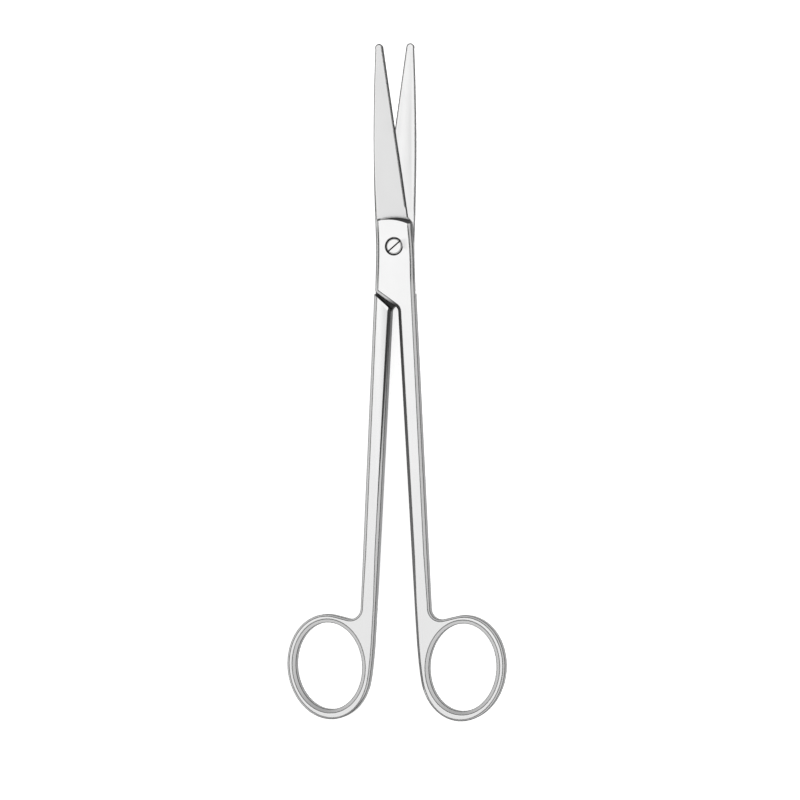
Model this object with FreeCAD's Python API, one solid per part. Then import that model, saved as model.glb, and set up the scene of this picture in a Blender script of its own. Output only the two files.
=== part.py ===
import FreeCAD, Part
import os
from math import asin, atan2, cos, pi, radians, sin, sqrt, tan

# Straight surgical scissors, lying flat with the tips towards +Y.
# The two halves are one forging used twice: the rear half is the front one turned over about the long axis.
# A half is drawn closed, with the pivot at the origin, the lap plane at z = 0 and the tips towards +Y.
# Its ring lies on the +X side and its blade leans over to the -X side.
# Sizes are in millimetres and degrees.

Vec = FreeCAD.Vector
ORIGIN = Vec(0, 0, 0)
LONG_AXIS = Vec(0, 1, 0)
UP = Vec(0, 0, 1)

# How far the pair stands open at rest
rest_opening = 6.3

# Thicknesses
shank_thickness = 4.76
ring_thickness = 4.4
lap_clearance = 0.04

# Blade
tip_reach = 69.6
tip_radius = 1.3
tip_lean = 1.55
spine_end_drop = 0.4
shoulder_reach = 9.7
spine_at_shoulder = 6.1
spine_bow = 0.55
edge_at_shoulder = 5.0
ground_height_spine = 2.2
ground_height_edge = 0.75
ground_drop_to_tip = 1.05
shoulder_radius = 17.4
shoulder_lean = -0.6
shoulder_rise = 0.2
shoulder_steepness = 43.0
cove_radius = 14.0
cove_run = 2.1
edge_land = 0.15
edge_bevel_angle = 24.0
hollow_depth = 0.14
hollow_margin = 0.9
hollow_sections = ((0.04, 0.1), (0.2, 1.0), (0.6, 0.8), (0.95, 0.1))

# Joint
joint_half_width = 6.3
joint_flare = 1.2
lap_corner_reach = 15.0
lap_angle = 39.0
lap_corner_round = 1.25
lap_inner_round = 2.0
shoulder_clearance = 0.2
heel_width = 6.15
heel_reach = 8.2
joint_right_bulge = 0.35
joint_left_heading = 4.0
joint_left_pull = (10.0, 12.0)
joint_right_heading = 2.9
joint_right_pull = 12.0

# Shank
shank_gap = 0.2
shank_width_top = 6.0
shank_width_ring = 5.15
ring_centre_reach = 143.93
ring_top_reach = ring_centre_reach - 22.93
thinning_length = 16.0
edge_bevel_across = 1.1
edge_bevel_down = 0.6

# Finger ring
ring_half_width = 14.55
ring_half_length = 17.88
ring_lean = 9.9
ring_set_out = 0.6
wall_straight_reach = ring_centre_reach - 16.93
wall_join_angle = 17.0
ring_wall_beside = 2.93
ring_wall_at_end = 3.12
hole_half_width = ring_half_width - ring_wall_beside
hole_half_length = ring_half_length - ring_wall_at_end
hole_lean = 7.0
hole_rise = 0.25
crotch_round = 3.7
crotch_web_angle = 17.0
hole_bevel_across = 1.3
hole_bevel_down = 0.7

# Pivot screw
head_radius = 2.87
head_height = 1.0
head_recess = 0.05
head_side_gap = 0.12
head_edge_round = 0.7
pivot_radius = 1.8
running_clearance = 0.03
thread_radius = 1.5
thread_seat_gap = 0.02
thread_chamfer = 0.08
slot_width = 0.45
slot_depth = 0.6
slot_angle = 40.0

half_thickness = shank_thickness / 2
lap_height = lap_clearance / 2
inner_wall = shank_gap / 2
beyond = 4 * shank_thickness


def at(x, y, z=0.0):
    return Vec(x, y, z)


def downwards(lean):
    """The direction towards the rings, turned this far over to +X."""
    return at(sin(radians(lean)), -cos(radians(lean)))


def leaning(centre, x, y, lean):
    """A point given in an ellipse's own axes, whose top leans over towards +X."""
    angle = radians(lean)
    return centre + at(x * cos(angle) + y * sin(angle), y * cos(angle) - x * sin(angle))


def oval(centre, half_width, half_length, lean):
    """An upright oval. It runs anticlockwise, and its parameter is 0 at the top."""
    top = leaning(centre, 0, half_length, lean)
    left = leaning(centre, -half_width, 0, lean)
    return Part.Ellipse(top, left, centre)


def bisect(gap, low, high):
    """The place between low and high where gap passes through zero."""
    for _ in range(60):
        middle = (low + high) / 2
        if (gap(low) > 0) == (gap(middle) > 0):
            low = middle
        else:
            high = middle
    return (low + high) / 2


def plate(edges, bottom, top):
    face = Part.Face(Part.Wire(edges))
    face.translate(at(0, 0, bottom))
    return face.extrude(at(0, 0, top - bottom))


def polygon_edges(points):
    return [Part.LineSegment(a, b).toShape() for a, b in zip(points, points[1:] + points[:1])]


def shank_outer(reach):
    """How far the shank's outer edge is from the centre line, this far below the pivot."""
    share = (reach - lap_corner_reach) / (ring_top_reach - lap_corner_reach)
    return inner_wall + shank_width_top + (shank_width_ring - shank_width_top) * share


def lap_line(x):
    """The Y of the front layer's diagonal edge, on the -X side."""
    return -lap_corner_reach - (x + joint_half_width + joint_flare) * tan(radians(lap_angle))


def ground_height(x, y):
    """The height of the blade's ground outer face over the lap plane."""
    blade_width = spine_at_shoulder + edge_at_shoulder
    across = (ground_height_edge - ground_height_spine) / blade_width
    tip_shift = spine_at_shoulder - tip_lean - tip_radius
    along = -(ground_drop_to_tip + across * tip_shift) / (tip_reach - shoulder_reach)
    return ground_height_spine + across * (x + spine_at_shoulder) + along * (y - shoulder_reach)


def ring_frame():
    """The ring's outer oval, its centre, and the parameter where the inner wall has run into it."""
    lean = radians(ring_lean)
    reach = sqrt((ring_half_width * cos(lean)) ** 2 + (ring_half_length * sin(lean)) ** 2)
    centre = at(inner_wall + ring_set_out + reach, -ring_centre_reach)
    outer = oval(centre, ring_half_width, ring_half_length, ring_lean)
    innermost = atan2(ring_half_width * cos(lean), -ring_half_length * sin(lean))
    return outer, centre, innermost + radians(wall_join_angle)


def outline():
    """The whole half seen from above, as one closed loop of edges."""
    tip_centre = at(-tip_lean, tip_reach - tip_radius)
    spine_top = tip_centre + at(-tip_radius, -spine_end_drop)
    edge_top = tip_centre + at(tip_radius, 0)
    spine_low = at(-spine_at_shoulder, shoulder_reach)
    spine_middle = (spine_top + spine_low) * 0.5 + at(-spine_bow, 0)
    edge_low = at(edge_at_shoulder, shoulder_reach)
    heel = at(heel_width, heel_reach)
    shank_top = at(shank_outer(lap_corner_reach), -lap_corner_reach)
    joint_right = (heel + shank_top) * 0.5 + at(joint_right_bulge, 0)

    outer, _, join = ring_frame()
    wall_end = at(inner_wall, -wall_straight_reach)
    ring_start = outer.value(join)
    ring_heading = outer.tangent(join)[0]
    lines_meet = ring_start - ring_heading * ((ring_start.x - inner_wall) / ring_heading.x)
    wall_bend = Part.BezierCurve()
    wall_bend.setPoles([wall_end, lines_meet, ring_start])
    crotch_point = crotch_place()
    web = 2 * pi + radians(crotch_web_angle)

    lap_corner = at(-joint_half_width - joint_flare, -lap_corner_reach)
    lap_foot = at(inner_wall, lap_line(inner_wall))

    spine = Part.Arc(spine_top, spine_middle, spine_low)
    spine_heading = spine.tangent(spine.LastParameter)[0]
    joint_left = Part.BSplineCurve()
    waist = at(-joint_half_width, 0)
    into_pull, out_pull = joint_left_pull
    joint_left.interpolate(
        Points=[spine_low, waist, lap_corner], InitialTangent=spine_heading * into_pull,
        FinalTangent=downwards(-joint_left_heading) * out_pull)
    shank_heading = (crotch_point - shank_top).normalize()
    joint_side = Part.BSplineCurve()
    joint_side.interpolate(
        Points=[heel, joint_right, shank_top], InitialTangent=downwards(joint_right_heading) * joint_right_pull,
        FinalTangent=shank_heading * joint_right_pull)

    return [
        Part.Arc(edge_top, tip_centre + at(0, tip_radius), spine_top).toShape(),
        spine.toShape(),
        joint_left.toShape(),
        Part.LineSegment(lap_corner, lap_foot).toShape(),
        Part.LineSegment(lap_foot, wall_end).toShape(),
        wall_bend.toShape(),
        Part.ArcOfEllipse(outer, join, web).toShape(),
        Part.LineSegment(outer.value(web), crotch_point).toShape(),
        Part.LineSegment(crotch_point, shank_top).toShape(),
        joint_side.toShape(),
        Part.LineSegment(heel, edge_low).toShape(),
        Part.LineSegment(edge_low, edge_top).toShape(),
    ]


def upright_edges_near(shape, x, y):
    """The shape's edges that stand straight up at a place."""
    found = []
    for edge in shape.Edges:
        if len(edge.Vertexes) != 2:
            continue
        a, b = edge.Vertexes[0].Point, edge.Vertexes[1].Point
        straight_up = abs(a.x - b.x) < 1e-4 and abs(a.y - b.y) < 1e-4
        if straight_up and (a - at(x, y, a.z)).Length < 0.05:
            found.append(edge)
    return found


def level_edges(shape, height, wanted):
    """The edges that lie at a height and whose middle is wanted."""
    found = []
    for edge in shape.Edges:
        box = edge.BoundBox
        level = abs(box.ZMin - height) < 1e-4 and abs(box.ZMax - height) < 1e-4
        if level and wanted(edge.valueAt((edge.FirstParameter + edge.LastParameter) / 2)):
            found.append(edge)
    return found


def inside_ring(point):
    """Whether a point is nearer to the ring's centre than the middle of its band."""
    _, centre, _ = ring_frame()
    across = (point.x - centre.x) / (ring_half_width + hole_half_width) * 2
    along = (point.y - centre.y) / (ring_half_length + hole_half_length) * 2
    return across ** 2 + along ** 2 < 1


def crotch_place():
    """Where the web, which leaves the ring straight on, runs into the shank's outer edge."""
    outer, _, _ = ring_frame()
    web_start = outer.value(radians(crotch_web_angle))
    heading = outer.tangent(radians(crotch_web_angle))[0]
    run = bisect(
        lambda along: (web_start + heading * along).x - shank_outer(-(web_start + heading * along).y),
        0, ring_half_width)
    return web_start + heading * run


def forging():
    """One half at full thickness, with its corners rounded in plan."""
    solid = plate(outline(), -half_thickness, half_thickness)
    crotch = crotch_place()
    corners = [
        (lap_inner_round, inner_wall, lap_line(inner_wall)),
        (lap_corner_round, -joint_half_width - joint_flare, -lap_corner_reach),
        (crotch_round, crotch.x, crotch.y),
    ]
    for radius, x, y in corners:
        solid = solid.makeFillet(radius, upright_edges_near(solid, x, y))
    return solid


def broken_edges(solid):
    """The bevels along the outline. Each runs on round the whole face from one of its edges."""
    for height in (half_thickness, -half_thickness):
        below_joint = level_edges(solid, height, lambda p: p.y < -ring_top_reach)
        solid = solid.makeChamfer(edge_bevel_down, edge_bevel_across, below_joint[:1])
    return solid


def lapped(solid):
    """The other half's room is milled away up to a diagonal shoulder, whose inner corner is rounded."""
    shift = shoulder_clearance / cos(radians(lap_angle))
    far = 2 * tip_reach
    lap_room = polygon_edges([
        at(-far, lap_line(far) - shift), at(far, lap_line(-far) - shift), at(far, far), at(-far, far)])
    solid = solid.cut(plate(lap_room, -beyond, lap_height))

    corner = at(inner_wall, lap_line(-inner_wall) - shift)
    round_radius = lap_inner_round - shoulder_clearance
    along_wall = downwards(0)
    along_shoulder = at(cos(radians(lap_angle)), sin(radians(lap_angle)))
    half_corner = along_wall.getAngle(along_shoulder) / 2
    inwards = (along_wall + along_shoulder).normalize()
    run = round_radius / tan(half_corner)
    middle = corner + inwards * (round_radius / sin(half_corner) - round_radius)
    low = corner + along_wall * run
    high = corner + along_shoulder * run
    outside = corner - inwards * round_radius
    trimmings = [
        Part.Arc(low, middle, high).toShape(),
        Part.LineSegment(high, high - inwards * round_radius).toShape(),
        Part.LineSegment(high - inwards * round_radius, outside).toShape(),
        Part.LineSegment(outside, low - inwards * round_radius).toShape(),
        Part.LineSegment(low - inwards * round_radius, low).toShape(),
    ]
    return solid.cut(plate(trimmings, -beyond, lap_height))


def thinned_ring(solid):
    """The ring is a little thinner than the shank, which tapers into it on both faces."""
    step = (shank_thickness - ring_thickness) / 2
    start = -ring_top_reach + thinning_length
    end = -ring_top_reach
    far = -2 * ring_centre_reach
    for side in (1, -1):
        top = side * half_thickness
        low = side * (half_thickness - step)
        profile = polygon_edges([
            at(-beyond, start, top), at(-beyond, end, low), at(-beyond, far, low),
            at(-beyond, far, side * beyond), at(-beyond, start, side * beyond)])
        solid = solid.cut(Part.Face(Part.Wire(profile)).extrude(at(4 * ring_centre_reach, 0, 0)))
    return solid


def finger_hole(solid):
    """The oval hole, bevelled on both faces."""
    _, centre, _ = ring_frame()
    centre = centre + at(0, hole_rise)
    solid = solid.cut(
        plate([oval(centre, hole_half_width, hole_half_length, hole_lean).toShape()], -beyond, beyond))
    level = ring_thickness / 2
    rims = level_edges(solid, level, inside_ring) + level_edges(solid, -level, inside_ring)
    return solid.makeChamfer(hole_bevel_across, hole_bevel_down, rims)


def ground_blade(solid):
    """The blade's outer face, ground flat and low. It ends at the joint in a cove and a sloping shoulder."""
    centre = at(shoulder_lean, shoulder_reach + shoulder_rise - shoulder_radius)
    far = 2 * tip_reach
    across = ground_height(1, 0) - ground_height(0, 0)
    along = ground_height(0, 1) - ground_height(0, 0)
    face_normal = at(-across, -along, 1).normalize()
    foot = at(centre.x, centre.y, ground_height(centre.x, centre.y))
    turn = asin(cove_run / cove_radius)
    start = at(shoulder_radius + cove_run, 0, 0)
    middle = start + at(-cove_radius * sin(turn / 2), 0, cove_radius * (1 - cos(turn / 2)))
    end = start + at(-cove_run, 0, cove_radius * (1 - cos(turn)))
    top = end + at(-shank_thickness / tan(radians(shoulder_steepness)), 0, shank_thickness)
    far_top = at(far, 0, top.z)
    profile = [
        Part.LineSegment(at(far, 0, 0), start).toShape(),
        Part.Arc(start, middle, end).toShape(),
        Part.LineSegment(end, top).toShape(),
        Part.LineSegment(top, far_top).toShape(),
        Part.LineSegment(far_top, at(far, 0, 0)).toShape(),
    ]
    wheel = Part.Face(Part.Wire(profile)).revolve(ORIGIN, UP, 360)
    wheel.Placement = FreeCAD.Placement(foot, FreeCAD.Rotation(UP, face_normal)).multiply(wheel.Placement)
    tip_side = plate(polygon_edges([at(-far, 0), at(far, 0), at(far, far), at(-far, far)]), -beyond, beyond)
    return solid.cut(wheel.common(tip_side))


def sharpened(solid):
    """The narrow bevel on the outer side of the cutting edge."""
    low = at(edge_at_shoulder, shoulder_reach)
    top = at(tip_radius - tip_lean, tip_reach - tip_radius)
    heading = (top - low).normalize()
    outward = at(heading.y, -heading.x)
    lean = tan(radians(edge_bevel_angle))
    foot = low + at(0, 0, lap_height + edge_land)
    wedge = [
        foot, foot + outward * beyond, foot + outward * beyond + UP * beyond,
        foot - outward * beyond * lean + UP * beyond]
    past_tip = heading * (tip_reach + tip_radius)
    return solid.cut(Part.Face(Part.Wire(polygon_edges(wedge))).extrude(past_tip))


def hollow_ground(solid):
    """The shallow hollow along the blade's inner face, which leaves a land at each side."""
    sections = []
    for share, depth_share in hollow_sections:
        y = shoulder_reach + (tip_reach - shoulder_reach) * share
        taper = 1 - share
        left = -(tip_lean + (spine_at_shoulder - tip_lean) * taper) - tip_radius * share + hollow_margin
        right = edge_at_shoulder * taper - hollow_margin
        depth = hollow_depth * depth_share
        crown = at((left + right) / 2, y, lap_height + depth)
        a = at(left, y, lap_height)
        b = at(right, y, lap_height)
        down = UP * -half_thickness
        sections.append(Part.Wire([
            Part.Arc(a, crown, b).toShape(),
            Part.LineSegment(b, b + down).toShape(),
            Part.LineSegment(b + down, a + down).toShape(),
            Part.LineSegment(a + down, a).toShape()]))
    return solid.cut(Part.makeLoft(sections, True, False))


def half():
    """One half with everything but its pivot hole."""
    solid = lapped(broken_edges(forging()))
    solid = finger_hole(thinned_ring(solid))
    return hollow_ground(sharpened(ground_blade(solid)))


def front_half():
    """The half on top: a plain bore that runs on the screw, and a recess for its head."""
    bore = Part.makeCylinder(pivot_radius + running_clearance, 2 * beyond, at(0, 0, -beyond))
    recess_floor = half_thickness - head_recess - head_height - running_clearance
    recess = Part.makeCylinder(head_radius + head_side_gap, beyond, at(0, 0, recess_floor))
    return half().cut(bore).cut(recess)


def rear_half():
    """The same half turned over, with the hole that the screw is threaded and staked in."""
    seat = Part.makeCylinder(thread_radius + thread_seat_gap, 2 * beyond, at(0, 0, -beyond))
    turned = half()
    turned.rotate(ORIGIN, LONG_AXIS, 180)
    return turned.cut(seat)


def pivot_screw():
    """A slotted screw: flat head, plain pivot through the front half, threaded end in the rear half."""
    head_top = half_thickness - head_recess
    head = Part.makeCylinder(head_radius, head_height, at(0, 0, head_top - head_height))
    head = head.makeFillet(head_edge_round, level_edges(head, head_top, lambda p: True))
    shoulder = -lap_height
    pivot = Part.makeCylinder(pivot_radius, head_top - head_height - shoulder, at(0, 0, shoulder))
    end = -half_thickness
    thread = Part.makeCylinder(thread_radius, shoulder - end, at(0, 0, end))
    thread = thread.makeChamfer(thread_chamfer, level_edges(thread, end, lambda p: True))
    slot = Part.makeBox(
        4 * head_radius, slot_width, beyond, at(-2 * head_radius, -slot_width / 2, head_top - slot_depth))
    slot.rotate(ORIGIN, UP, slot_angle)
    return head.fuse([pivot, thread]).removeSplitter().cut(slot)


def placed(solid, turn):
    """Turned about the pivot to where it is at rest, with the back faces on the ground."""
    solid.rotate(ORIGIN, UP, turn)
    solid.translate(at(0, 0, half_thickness))
    return solid


def main():
    os.makedirs("parts", exist_ok=True)
    pieces = {
        "front_half": placed(front_half(), rest_opening / 2),
        "rear_half": placed(rear_half(), -rest_opening / 2),
        "pivot_screw": placed(pivot_screw(), 0),
    }
    for name, solid in pieces.items():
        print(name, len(solid.Solids), solid.isValid(), round(solid.Volume, 1))
        solid.exportStep("parts/" + name + ".step")


main()
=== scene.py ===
from math import cos, pi, radians, sin

import bmesh
import bpy
from bpy.props import FloatProperty, FloatVectorProperty, PointerProperty
from mathutils import Matrix, Vector


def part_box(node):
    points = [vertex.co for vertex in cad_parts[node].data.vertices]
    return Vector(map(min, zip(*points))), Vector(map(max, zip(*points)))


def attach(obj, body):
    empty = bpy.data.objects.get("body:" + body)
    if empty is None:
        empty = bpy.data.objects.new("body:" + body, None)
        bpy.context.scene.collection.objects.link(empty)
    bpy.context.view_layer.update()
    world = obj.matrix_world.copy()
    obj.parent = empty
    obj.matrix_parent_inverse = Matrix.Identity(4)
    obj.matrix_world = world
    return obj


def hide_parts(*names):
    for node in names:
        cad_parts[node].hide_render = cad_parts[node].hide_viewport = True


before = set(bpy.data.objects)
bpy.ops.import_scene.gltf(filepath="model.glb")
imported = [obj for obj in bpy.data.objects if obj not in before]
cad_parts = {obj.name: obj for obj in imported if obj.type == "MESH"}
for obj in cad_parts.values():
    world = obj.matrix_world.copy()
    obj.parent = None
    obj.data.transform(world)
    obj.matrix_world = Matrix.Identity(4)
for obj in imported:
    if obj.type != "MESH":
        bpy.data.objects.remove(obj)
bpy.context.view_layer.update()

bl_info = {
    "name": "Surgical scissors dresser",
    "version": (1, 0, 0),
    "blender": (4, 5, 0),
    "location": "3D View > Sidebar > Scissors",
    "description": "Steel finishes, eased edges and studio for a pair of surgical scissors",
    "category": "Object",
}

MM = 0.001

# The halves' flats, from the nodes' boxes
REST_FLAT, TOP_FLAT = (corner[2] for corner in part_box("rear_half"))
LAP_LEVEL = (REST_FLAT + TOP_FLAT) / 2

# How far each shank's inner side is turned from the middle at rest
INNER_SIDE_TURN = radians(3.15)

# The arc where a blade's grinding ends; its centre lies a little to the spine's side
SHOULDER_LEAN = 0.19 * MM
SHOULDER_CENTRE = -7.52 * MM
SHOULDER_RADIUS = 17.4 * MM

# How far the polish rounds an edge to each side, and how finely that is worked out
EDGE_EASE = 0.45 * MM
JOINT_EASE = 0.8 * MM
BLADE_EASE = 0.75 * MM
SHOULDER_EASE = 0.08 * MM
SCREW_EASE = 0.1 * MM
HALF_EASE_SAMPLES = 16
SCREW_EASE_SAMPLES = 8

# Places along a half: a finish or a painted shade comes in between two of them, and goes out again between
# two more
JOINT_ALONG = (-15 * MM, -9 * MM, 5 * MM, 8 * MM)
SHOULDER_ALONG = (6.5 * MM, 7.5 * MM, 12.5 * MM, 14 * MM)
BLADE_EASE_ALONG = (10 * MM, 14 * MM)
GROUND_ALONG = (0.0, 4 * MM)
LAP_END_ALONG = (-10 * MM, -6 * MM)
INNER_LINE_START = (-17 * MM, -20 * MM)

# Where the painted shade line down a shank's inner side is strongest, and where it has faded out. On the
# front half that is far past its ring, so its line fades little
INNER_LINE_FULL = -24 * MM
FRONT_INNER_LINE_END = -400 * MM
REAR_INNER_LINE_END = -75 * MM

# The same by distance from the middle, from the shoulder's arc, from the inner side and from the lap's height
JOINT_SIDES = (3.4 * MM, 4.4 * MM)
SHOULDER_SIDES = (4.4 * MM, 5.2 * MM)
GROUND_PAST_ARC = (0.0, 0.3 * MM)
INNER_LINE_ACROSS = (1.6 * MM, 2.0 * MM)
LAP_OFF_LEVEL = (0.03 * MM, 0.06 * MM)

# The same by how level a face lies, from 0 upright to 1 flat
SIDE_LEVEL = (0.35, 0.8)
BEVEL_FOOT_LEVEL = (0.08, 0.25, 0.82, 0.87)
BEVEL_TOP_LEVEL = (0.883, 0.895, 0.978, 0.988)
INNER_LINE_LEVEL = (0.9, 0.97)
LAP_LEVELNESS = (0.8, 0.9)
SCREW_WALL_LEVEL = (0.1, 0.3)

# The screw's seat in the front half, and between which heights the screw is painted dark as the shade it lies
# in
SEAT_RADIUS = 3.3 * MM
SEAT_TOP = TOP_FLAT - 0.06 * MM
SLOT_SHADE = TOP_FLAT - 0.45 * MM
END_SHADE = REST_FLAT + 0.3 * MM

# The marks of polishing: how many to a metre, how drawn out, how much the sheen varies, and how deep they are
SCRATCH_SCALE = 900.0
SCREW_SCRATCH_SCALE = 2400.0
SCRATCH_STRETCH = 0.06
PATCH_SCALE = 120.0
FORGED_SPREAD = 0.06
FORGED_SCRATCH = 0.004 * MM
TURNED_SPREAD = 0.08
TURNED_SCRATCH = 0.003 * MM
SCRATCH_STRENGTH = 0.25

# In the meshes, corners this near are one, facets this nearly level are joined, and steeper edges stay sharp
SAME_CORNER = 0.002 * MM
SAME_FACET = radians(0.4)
SHARP_EDGE = radians(18)

# The studio's brightness by angle from the light's middle: (degrees, brightness)
LIGHT_BY_ANGLE = (
    (0, 1.17), (4, 1.14), (7, 0.94), (10, 0.86), (15, 0.86), (20, 0.78), (26, 0.24), (40, 0.2), (47, 0.58),
    (61, 0.62), (75, 0.6), (92, 0.5), (98, 0.4))


class SteelFinish(bpy.types.PropertyGroup):
    """Colours and finishes of the stainless steel, with the dark colours that are painted as its shade."""
    polished: FloatVectorProperty(
        name="Polished", description="Colour of the joint, shanks and rings", subtype="COLOR",
        size=3, min=0, max=1, default=(0.93, 0.93, 0.93))
    ground: FloatVectorProperty(
        name="Ground", description="Colour of the blades' ground faces", subtype="COLOR",
        size=3, min=0, max=1, default=(0.95, 0.95, 0.95))
    # Painted shade: the upright faces of the halves are painted this dark grey for the shade and dark
    # reflections they catch; only their rougher finish is real
    sides: FloatVectorProperty(
        name="Shaded sides", description="Colour of the upright sides, which get less polish", subtype="COLOR",
        size=3, min=0, max=1, default=(0.24, 0.24, 0.24))
    # Painted shade: the lap, the screw's seat and its slot are painted this near black for the shade that
    # falls in them
    shaded_recesses: FloatVectorProperty(
        name="Shaded recesses", description="Colour of the lap, the screw's seat and its slot", subtype="COLOR",
        size=3, min=0, max=1, default=(0.1, 0.1, 0.1))
    # Painted shade: this dark line is painted along the edges and bevels and down a shank's inner side for
    # the dark reflections and shade there; it is not left by the wheels
    painted_edge_shade: FloatVectorProperty(
        name="Painted edge shade", description="Colour of the dull line that the wheels leave along an edge",
        subtype="COLOR", size=3, min=0, max=1, default=(0.07, 0.07, 0.07))
    face_shade_share: FloatProperty(
        name="Face line share", description="How much of that line shows where a bevel meets its face",
        subtype="FACTOR", min=0, max=1, default=0.92)
    polished_roughness: FloatProperty(
        name="Polished roughness", description="Roughness of the polished steel", subtype="FACTOR",
        min=0, max=1, default=0.2)
    ground_roughness: FloatProperty(
        name="Ground roughness", description="Roughness of the ground faces", subtype="FACTOR",
        min=0, max=1, default=0.25)
    sides_roughness: FloatProperty(
        name="Sides roughness", description="Roughness of the upright sides", subtype="FACTOR",
        min=0, max=1, default=0.4)
    recess_roughness: FloatProperty(
        name="Recess roughness", description="Roughness of the recesses", subtype="FACTOR",
        min=0, max=1, default=0.55)
    edge_ease: FloatProperty(
        name="Edge ease", description="How far the polish rounds an edge to each side", subtype="DISTANCE",
        unit="LENGTH", min=0, default=EDGE_EASE)
    joint_ease: FloatProperty(
        name="Joint ease", description="The same at the joint's outer edges, which are polished over more",
        subtype="DISTANCE", unit="LENGTH", min=0, default=JOINT_EASE)
    blade_ease: FloatProperty(
        name="Blade ease", description="The same along the blades", subtype="DISTANCE", unit="LENGTH", min=0,
        default=BLADE_EASE)
    screw_ease: FloatProperty(
        name="Screw ease", description="The same on the screw", subtype="DISTANCE", unit="LENGTH", min=0,
        default=SCREW_EASE)


class StageSetup(bpy.types.PropertyGroup):
    """Camera, floor and light."""
    roll: FloatProperty(
        name="Roll", description="How far the camera stands over to the +X side", subtype="ANGLE",
        unit="ROTATION", default=radians(13.0))
    lean: FloatProperty(
        name="Lean", description="How far the camera stands over to the ring side", subtype="ANGLE",
        unit="ROTATION", default=radians(1.5))
    tilt: FloatProperty(
        name="Tilt", description="Turn of the picture about the view's axis", subtype="ANGLE",
        unit="ROTATION", default=radians(-0.15))
    distance: FloatProperty(
        name="Distance", description="Camera to object", subtype="DISTANCE", unit="LENGTH", default=1.0)
    width: FloatProperty(
        name="Width", description="Width of what the picture shows", subtype="DISTANCE",
        unit="LENGTH", default=0.272)
    centre: FloatVectorProperty(
        name="Centre", description="What the picture's middle shows", subtype="TRANSLATION",
        unit="LENGTH", size=3, default=(0.00147, -0.0522, 0.0024))
    floor_colour: FloatVectorProperty(
        name="Floor colour", description="Colour of the floor", subtype="COLOR", size=3, min=0, max=1,
        default=(0.93, 0.93, 0.93))
    floor_reach: FloatProperty(
        name="Floor reach", description="Middle of the floor to its sides", subtype="DISTANCE",
        unit="LENGTH", default=3.0)
    floor_glow: FloatProperty(
        name="Floor glow", description="Light that the floor adds to its own colour where it is seen",
        min=0, default=0.75)
    light_aim: FloatVectorProperty(
        name="Light aim", description="Direction of the soft light's middle", subtype="DIRECTION",
        size=3, default=(-0.18, 0.12, 1.0))


def feed(socket, value):
    """Link another node's output into a socket, or set the socket to a value."""
    if isinstance(value, bpy.types.NodeSocket):
        socket.id_data.links.new(value, socket)
    else:
        socket.default_value = value


def linked(nodes, kind, settings=None, **inputs):
    """A new shader node with its settings and inputs.

    An input is named by its label with _ for each space, or by _ and its number."""
    node = nodes.new(kind)
    for key, value in (settings or {}).items():
        setattr(node, key, value)
    for key, value in inputs.items():
        feed(node.inputs[int(key[1:])] if key[0] == "_" else node.inputs[key.replace("_", " ")], value)
    return node


def blend(nodes, share, low, high):
    """A colour between two, by a mask. Each is a socket or a colour without alpha."""
    mix = linked(nodes, "ShaderNodeMix", {"data_type": "RGBA"}, _0=share)
    for socket, colour in ((mix.inputs[6], low), (mix.inputs[7], high)):
        feed(socket, colour if isinstance(colour, bpy.types.NodeSocket) else (*colour, 1))
    return mix.outputs[2]


def between(nodes, share, low, high):
    """A number between two, by a mask."""
    return linked(nodes, "ShaderNodeMix", {"data_type": "FLOAT"}, _0=share, _2=low, _3=high).outputs[0]


def maths(nodes, operation, a, b=0.0):
    """A number worked out from one or two others."""
    return linked(nodes, "ShaderNodeMath", {"operation": operation}, _0=a, _1=b).outputs[0]


def every(nodes, first, *others):
    """Where all the masks are 1."""
    for mask in others:
        first = maths(nodes, "MULTIPLY", first, mask)
    return first


def either(nodes, first, *others):
    """Where one of the masks or more is 1."""
    for mask in others:
        first = maths(nodes, "MAXIMUM", first, mask)
    return first


def without(nodes, mask):
    """Where the mask is 0."""
    return maths(nodes, "SUBTRACT", 1.0, mask)


def step(nodes, value, low, high):
    """0 before low, 1 past high, smooth between."""
    eased = linked(
        nodes, "ShaderNodeMapRange", {"interpolation_type": "SMOOTHSTEP"}, _0=value, _1=low, _2=high)
    return eased.outputs[0]


def band(nodes, value, low, full, still_full, high):
    """1 from full to still_full, and 0 below low and above high."""
    return every(nodes, step(nodes, value, low, full), without(nodes, step(nodes, value, still_full, high)))


def split(nodes, vector):
    """The three parts of a vector."""
    return linked(nodes, "ShaderNodeSeparateXYZ", _0=vector).outputs


def place_on_piece(nodes):
    """Where a point lies on its piece."""
    return linked(nodes, "ShaderNodeTexCoord").outputs["Object"]


def reach_from(nodes, x, y):
    """How far off a point is, by how far it is across and along."""
    flat = linked(nodes, "ShaderNodeCombineXYZ", X=x, Y=y).outputs[0]
    return linked(nodes, "ShaderNodeVectorMath", {"operation": "LENGTH"}, _0=flat).outputs["Value"]


def new_group(name, inputs, outputs):
    """An empty shader group. Each input is (name, default); each output is (name, socket type)."""
    group = bpy.data.node_groups.new(name, "ShaderNodeTree")
    for label, default in inputs:
        socket = group.interface.new_socket(label, in_out="INPUT", socket_type="NodeSocketFloat")
        socket.default_value = default
    for label, kind in outputs:
        group.interface.new_socket(label, in_out="OUTPUT", socket_type=kind)
    return group, group.nodes.new("NodeGroupInput"), group.nodes.new("NodeGroupOutput")


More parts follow.
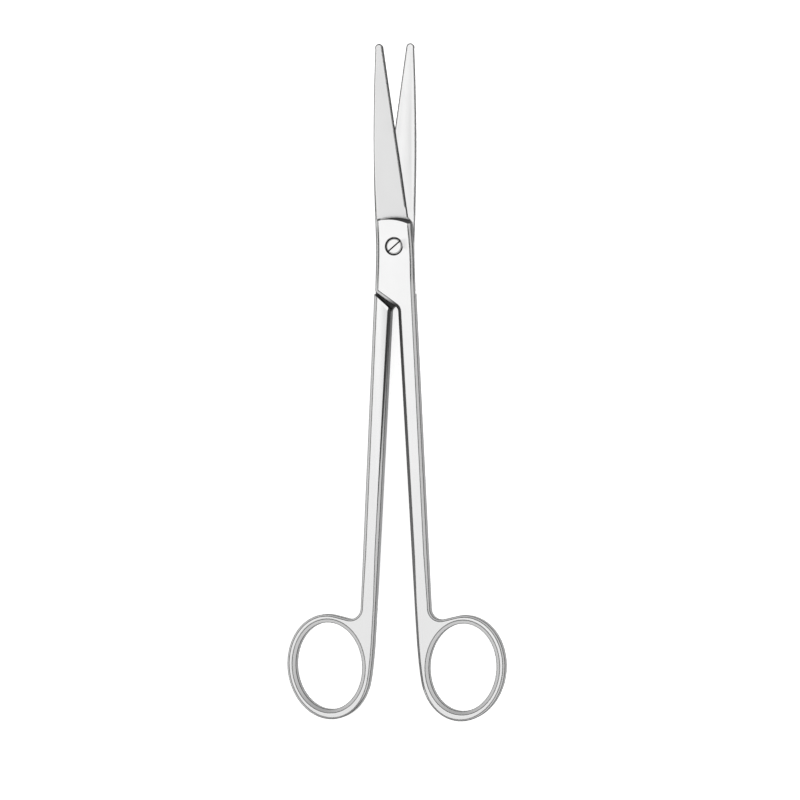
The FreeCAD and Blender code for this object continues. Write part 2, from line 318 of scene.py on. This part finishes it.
def satin_grain():
    """The fine marks of polishing: long scratches along the piece, and soft patches of more or less sheen."""
    group, given, made = new_group(
        "satin_grain", [("Scratch scale", SCRATCH_SCALE), ("Patch scale", PATCH_SCALE)],
        [("Height", "NodeSocketFloat"), ("Patches", "NodeSocketFloat")])
    nodes = group.nodes
    place = place_on_piece(nodes)
    stretched = linked(nodes, "ShaderNodeMapping", Vector=place, Scale=(1.0, SCRATCH_STRETCH, 1.0)).outputs[0]
    scratches = linked(
        nodes, "ShaderNodeTexNoise", Vector=stretched, Scale=given.outputs["Scratch scale"], Detail=3.0,
        Roughness=0.6).outputs[0]
    patches = linked(
        nodes, "ShaderNodeTexNoise", Vector=place, Scale=given.outputs["Patch scale"], Detail=2.0).outputs[0]
    feed(made.inputs["Height"], scratches)
    feed(made.inputs["Patches"], patches)
    return group


def forged_finish_and_shade():
    """Where a half is ground, and where shade is painted on it: on its upright faces, in its lap and the
    screw's seat, and as dark lines along its edges and down a shank's inner side.
    """
    group, given, made = new_group(
        "forged_finish_and_shade",
        [("Shoulder X", 0.0), ("Shoulder Y", SHOULDER_CENTRE), ("Shoulder radius", SHOULDER_RADIUS),
         ("Inner line end", REAR_INNER_LINE_END), ("Face line share", 1.0), ("Edge ease", EDGE_EASE),
         ("Joint ease", JOINT_EASE), ("Blade ease", BLADE_EASE)],
        [("Blade", "NodeSocketFloat"), ("Side", "NodeSocketFloat"), ("Recess shade", "NodeSocketFloat"),
         ("Painted edge shade", "NodeSocketFloat"), ("Eased normal", "NodeSocketVector")])
    nodes = group.nodes
    x, y, z = split(nodes, place_on_piece(nodes))
    sideways = maths(nodes, "ABSOLUTE", x)

    # The easing, and how level a face is with it
    at_joint = every(nodes, band(nodes, y, *JOINT_ALONG), step(nodes, sideways, *JOINT_SIDES))
    beside_shoulder = every(
        nodes, band(nodes, y, *SHOULDER_ALONG), without(nodes, step(nodes, sideways, *SHOULDER_SIDES)))
    ease = between(nodes, at_joint, given.outputs["Edge ease"], given.outputs["Joint ease"])
    ease = between(nodes, step(nodes, y, *BLADE_EASE_ALONG), ease, given.outputs["Blade ease"])
    ease = between(nodes, beside_shoulder, ease, SHOULDER_EASE)
    eased = linked(nodes, "ShaderNodeBevel", {"samples": HALF_EASE_SAMPLES}, Radius=ease).outputs[0]
    level = maths(nodes, "ABSOLUTE", split(nodes, eased)["Z"])

    # The ground blade, past the shoulder's arc
    across = maths(nodes, "SUBTRACT", x, given.outputs["Shoulder X"])
    along = maths(nodes, "SUBTRACT", y, given.outputs["Shoulder Y"])
    off_arc = maths(nodes, "SUBTRACT", reach_from(nodes, across, along), given.outputs["Shoulder radius"])
    blade = every(nodes, step(nodes, off_arc, *GROUND_PAST_ARC), step(nodes, y, *GROUND_ALONG))

    # Painted shade: the upright faces, and lines at a bevel's foot, at its top and down the shank's inner
    # side, in place of dark reflections and the shade between the shanks
    side = without(nodes, step(nodes, level, *SIDE_LEVEL))
    bevel_foot_shade = band(nodes, level, *BEVEL_FOOT_LEVEL)
    bevel_top_shade = every(
        nodes, band(nodes, level, *BEVEL_TOP_LEVEL), given.outputs["Face line share"],
        without(nodes, beside_shoulder))
    inner_side = maths(nodes, "MULTIPLY", y, -sin(INNER_SIDE_TURN))
    off_inner_side = maths(nodes, "SUBTRACT", sideways, inner_side)
    fading = linked(
        nodes, "ShaderNodeMapRange", _0=y, _1=given.outputs["Inner line end"], _2=INNER_LINE_FULL).outputs[0]
    inner_side_shade = every(
        nodes, without(nodes, step(nodes, off_inner_side, *INNER_LINE_ACROSS)),
        without(nodes, step(nodes, level, *INNER_LINE_LEVEL)), fading, step(nodes, y, *INNER_LINE_START))
    painted_edge_shade = either(nodes, bevel_foot_shade, bevel_top_shade, inner_side_shade)

    # The milled lap and the screw's seat, where the shade between the halves and round the screw is painted
    off_lap = maths(nodes, "ABSOLUTE", maths(nodes, "SUBTRACT", z, LAP_LEVEL))
    lap = every(
        nodes, without(nodes, step(nodes, off_lap, *LAP_OFF_LEVEL)), without(nodes, blade),
        step(nodes, level, *LAP_LEVELNESS), without(nodes, step(nodes, y, *LAP_END_ALONG)))
    seat = every(
        nodes, maths(nodes, "LESS_THAN", reach_from(nodes, x, y), SEAT_RADIUS),
        maths(nodes, "LESS_THAN", z, SEAT_TOP))
    recess_shade = either(nodes, lap, seat)

    for label, value in (("Blade", blade), ("Side", side), ("Recess shade", recess_shade), ("Painted edge shade", painted_edge_shade),
                         ("Eased normal", eased)):
        feed(made.inputs[label], value)
    return group


def placed_group(nodes, group, **inputs):
    """A shader group put in a material, with its own values for the inputs named."""
    node = nodes.new("ShaderNodeGroup")
    node.node_tree = group
    for label, value in inputs.items():
        node.inputs[label.replace("_", " ")].default_value = value
    return node


def bare_steel(name):
    """A metallic material, and its Principled node."""
    material = bpy.data.materials.new(name)
    material.use_nodes = True
    principled = material.node_tree.nodes["Principled BSDF"]
    principled.inputs["Metallic"].default_value = 1.0
    return material, principled


def grain_into(nodes, principled, grain, roughness, spread, depth, normal):
    """Let the grain vary the roughness and scratch the surface, which otherwise faces along normal."""
    off_middle = maths(nodes, "SUBTRACT", grain.outputs["Patches"], 0.5)
    patch = maths(nodes, "MULTIPLY", off_middle, spread)
    feed(principled.inputs["Roughness"], maths(nodes, "ADD", roughness, patch))
    bump = linked(
        nodes, "ShaderNodeBump", Strength=SCRATCH_STRENGTH, Distance=depth, Height=grain.outputs["Height"],
        Normal=normal)
    feed(principled.inputs["Normal"], bump.outputs[0])


def half_steel(name, grain_group, finish_and_shade_group, finish, shoulder_x, inner_line_end):
    """The steel of one half.

    shoulder_x is the place across of the arc where its blade's grinding ends, and inner_line_end is how far
    down the shank the painted shade line on its inner side fades out."""
    material, principled = bare_steel(name)
    nodes = material.node_tree.nodes
    areas = placed_group(
        nodes, finish_and_shade_group, Shoulder_X=shoulder_x, Shoulder_Y=SHOULDER_CENTRE,
        Shoulder_radius=SHOULDER_RADIUS, Inner_line_end=inner_line_end,
        Face_line_share=finish.face_shade_share, Edge_ease=finish.edge_ease, Joint_ease=finish.joint_ease,
        Blade_ease=finish.blade_ease)
    blade, side, recess_shade, painted_edge_shade, eased = areas.outputs
    colour = blend(nodes, blade, finish.polished, finish.ground)
    # Painted shade on the upright faces
    colour = blend(nodes, side, colour, finish.sides)
    # Painted shade along the edges and down the inner side
    colour = blend(nodes, painted_edge_shade, colour, finish.painted_edge_shade)
    # Painted shade in the lap and the screw's seat
    colour = blend(nodes, recess_shade, colour, finish.shaded_recesses)
    feed(principled.inputs["Base Color"], colour)
    rough = between(nodes, blade, finish.polished_roughness, finish.ground_roughness)
    rough = between(nodes, side, rough, finish.sides_roughness)
    rough = between(nodes, recess_shade, rough, finish.recess_roughness)
    grain = placed_group(nodes, grain_group)
    grain_into(nodes, principled, grain, rough, FORGED_SPREAD, FORGED_SCRATCH, eased)
    return material


def screw_steel(name, grain_group, finish):
    """The turned steel of the screw, with shade painted dark in its slot, on its upright faces and below its
    head.
    """
    material, principled = bare_steel(name)
    nodes = material.node_tree.nodes
    z = split(nodes, place_on_piece(nodes))["Z"]
    facing = linked(nodes, "ShaderNodeNewGeometry").outputs["Normal"]
    level = maths(nodes, "ABSOLUTE", split(nodes, facing)["Z"])
    eased = linked(
        nodes, "ShaderNodeBevel", {"samples": SCREW_EASE_SAMPLES}, Radius=finish.screw_ease).outputs[0]
    # Painted shade in the slot, below the head and on the upright faces
    sunk = every(
        nodes, maths(nodes, "LESS_THAN", z, SLOT_SHADE), maths(nodes, "GREATER_THAN", z, END_SHADE))
    recess_shade = either(nodes, sunk, without(nodes, step(nodes, level, *SCREW_WALL_LEVEL)))
    colour = blend(nodes, recess_shade, finish.polished, finish.shaded_recesses)
    feed(principled.inputs["Base Color"], colour)
    rough = between(nodes, recess_shade, finish.polished_roughness, finish.recess_roughness)
    grain = placed_group(nodes, grain_group, Scratch_scale=SCREW_SCRATCH_SCALE)
    grain_into(nodes, principled, grain, rough, TURNED_SPREAD, TURNED_SCRATCH, eased)
    return material


def group_named(name, maker):
    """A shader group that is built the first time it is asked for."""
    return bpy.data.node_groups.get(name) or maker()


def joined_solid(node, name):
    """A copy of a solid's mesh with its doubles merged and its flat facets joined."""
    mesh = node.data.copy()
    mesh.name = name
    shape = bmesh.new()
    shape.from_mesh(mesh)
    bmesh.ops.remove_doubles(shape, verts=shape.verts, dist=SAME_CORNER)
    bmesh.ops.dissolve_limit(
        shape, angle_limit=SAME_FACET, verts=shape.verts, edges=shape.edges, use_dissolve_boundaries=False)
    shape.to_mesh(mesh)
    shape.free()
    mesh.shade_smooth()
    mesh.materials.clear()
    return mesh


def shown(name, data):
    """An object in the scene with the mesh or camera data given."""
    piece = bpy.data.objects.new(name, data)
    bpy.context.scene.collection.objects.link(piece)
    return piece


def firmed(piece):
    """Keep the real edges sharp and the flats flat in their shading, and leave a plain mesh."""
    piece.data.set_sharp_from_angle(angle=SHARP_EDGE)
    normals = piece.modifiers.new("Normals", "WEIGHTED_NORMAL")
    normals.keep_sharp = True
    evaluated = piece.evaluated_get(bpy.context.evaluated_depsgraph_get())
    final = bpy.data.meshes.new_from_object(evaluated)
    piece.modifiers.clear()
    piece.data = final
    final.name = piece.name


def dress(piece, material, node, body):
    """Give a piece its steel, and let it stand for its node."""
    piece.data.materials.clear()
    piece.data.materials.append(material)
    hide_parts(node)
    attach(piece, body)


class SCISSORS_OT_halves(bpy.types.Operator):
    """Dress both forged halves in their steel"""
    bl_idname = "scissors.halves"
    bl_label = "Halves"

    def execute(self, context):
        finish = context.scene.scissors_steel
        grain = group_named("satin_grain", satin_grain)
        areas = group_named("forged_finish_and_shade", forged_finish_and_shade)
        for node, body, shoulder_x, inner_line_end in (
                ("front_half", "front", -SHOULDER_LEAN, FRONT_INNER_LINE_END),
                ("rear_half", "rear", SHOULDER_LEAN, REAR_INNER_LINE_END)):
            piece = shown("forged_" + node, joined_solid(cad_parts[node], "forged_" + node))
            firmed(piece)
            steel = half_steel(node + "_steel", grain, areas, finish, shoulder_x, inner_line_end)
            dress(piece, steel, node, body)
        return {"FINISHED"}


class SCISSORS_OT_screw(bpy.types.Operator):
    """Dress the pivot screw in its steel"""
    bl_idname = "scissors.screw"
    bl_label = "Pivot screw"

    def execute(self, context):
        finish = context.scene.scissors_steel
        grain = group_named("satin_grain", satin_grain)
        piece = shown("turned_screw", joined_solid(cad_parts["pivot_screw"], "turned_screw"))
        firmed(piece)
        dress(piece, screw_steel("turned_steel", grain, finish), "pivot_screw", "rear")
        return {"FINISHED"}


class SCISSORS_OT_stage(bpy.types.Operator):
    """Build the floor, the light and the camera"""
    bl_idname = "scissors.stage"
    bl_label = "Stage"

    def execute(self, context):
        setup = context.scene.scissors_stage
        context.scene.view_settings.view_transform = "Standard"
        camera_on(setup)
        floor_under(setup)
        studio_light(setup)
        return {"FINISHED"}


def camera_on(setup):
    """A camera above the scissors, looking at the picture's middle."""
    data = bpy.data.cameras.new("camera")
    camera = shown("camera", data)
    back = Vector((sin(setup.roll) * cos(setup.lean), -sin(setup.lean), cos(setup.roll) * cos(setup.lean)))
    right = Vector((0, 1, 0)).cross(back).normalized()
    up = back.cross(right)
    turn = Matrix((right, up, back)).transposed().to_4x4() @ Matrix.Rotation(setup.tilt, 4, "Z")
    camera.matrix_world = Matrix.Translation(Vector(setup.centre) + back * setup.distance) @ turn
    data.sensor_width = 36
    data.lens = data.sensor_width * setup.distance / setup.width
    data.clip_start = 0.01
    data.clip_end = 50
    bpy.context.scene.camera = camera


def floor_under(setup):
    """A pale floor that shows white to the camera and in the steel, and still takes the scissors' shadow."""
    mesh = bpy.data.meshes.new("floor")
    reach = setup.floor_reach
    corners = [(-reach, -reach, 0), (reach, -reach, 0), (reach, reach, 0), (-reach, reach, 0)]
    mesh.from_pydata(corners, [], [(0, 1, 2, 3)])
    floor = shown("floor", mesh)
    material = bpy.data.materials.new("floor")
    material.use_nodes = True
    nodes = material.node_tree.nodes
    principled = nodes["Principled BSDF"]
    principled.inputs["Base Color"].default_value = (*setup.floor_colour, 1)
    principled.inputs["Roughness"].default_value = 1.0
    principled.inputs["Specular IOR Level"].default_value = 0.0
    path = linked(nodes, "ShaderNodeLightPath")
    seen = either(
        nodes, path.outputs["Is Camera Ray"], path.outputs["Is Glossy Ray"],
        path.outputs["Is Transmission Ray"])
    principled.inputs["Emission Color"].default_value = (1, 1, 1, 1)
    feed(principled.inputs["Emission Strength"], maths(nodes, "MULTIPLY", seen, setup.floor_glow))
    mesh.materials.append(material)


def studio_light(setup):
    """A soft light overhead, with darker and paler rings round it."""
    world = bpy.data.worlds.new("studio")
    bpy.context.scene.world = world
    world.use_nodes = True
    nodes = world.node_tree.nodes
    background = nodes["Background"]
    direction = linked(nodes, "ShaderNodeTexCoord").outputs["Generated"]
    towards_aim = linked(
        nodes, "ShaderNodeVectorMath", {"operation": "DOT_PRODUCT"}, _0=direction,
        _1=Vector(setup.light_aim).normalized()).outputs["Value"]
    half_turns_off = maths(nodes, "DIVIDE", maths(nodes, "ARCCOSINE", towards_aim), pi)
    ramp = linked(nodes, "ShaderNodeValToRGB", _0=half_turns_off)
    stops = ramp.color_ramp.elements
    stops.remove(stops[-1])
    for number, (degrees_off, brightness) in enumerate(LIGHT_BY_ANGLE):
        stop = stops[0] if number == 0 else stops.new(degrees_off / 180)
        stop.position = degrees_off / 180
        stop.color = (brightness, brightness, brightness, 1)
    feed(background.inputs["Color"], ramp.outputs["Color"])
    background.inputs["Strength"].default_value = 1.0


class SCISSORS_PT_panel(bpy.types.Panel):
    """The steps that dress the scissors"""
    bl_idname = "SCISSORS_PT_panel"
    bl_label = "Scissors"
    bl_space_type = "VIEW_3D"
    bl_region_type = "UI"
    bl_category = "Scissors"

    def draw(self, context):
        for operator in ("scissors.halves", "scissors.screw", "scissors.stage"):
            self.layout.operator(operator)


CLASSES = (
    SteelFinish, StageSetup, SCISSORS_OT_halves, SCISSORS_OT_screw, SCISSORS_OT_stage, SCISSORS_PT_panel)


def register():
    for cls in CLASSES:
        bpy.utils.register_class(cls)
    bpy.types.Scene.scissors_steel = PointerProperty(type=SteelFinish)
    bpy.types.Scene.scissors_stage = PointerProperty(type=StageSetup)


def unregister():
    del bpy.types.Scene.scissors_stage
    del bpy.types.Scene.scissors_steel
    for cls in reversed(CLASSES):
        bpy.utils.unregister_class(cls)


def main():
    register()
    bpy.ops.scissors.halves()
    bpy.ops.scissors.screw()
    bpy.ops.scissors.stage()


if __name__ == "__main__":
    main()
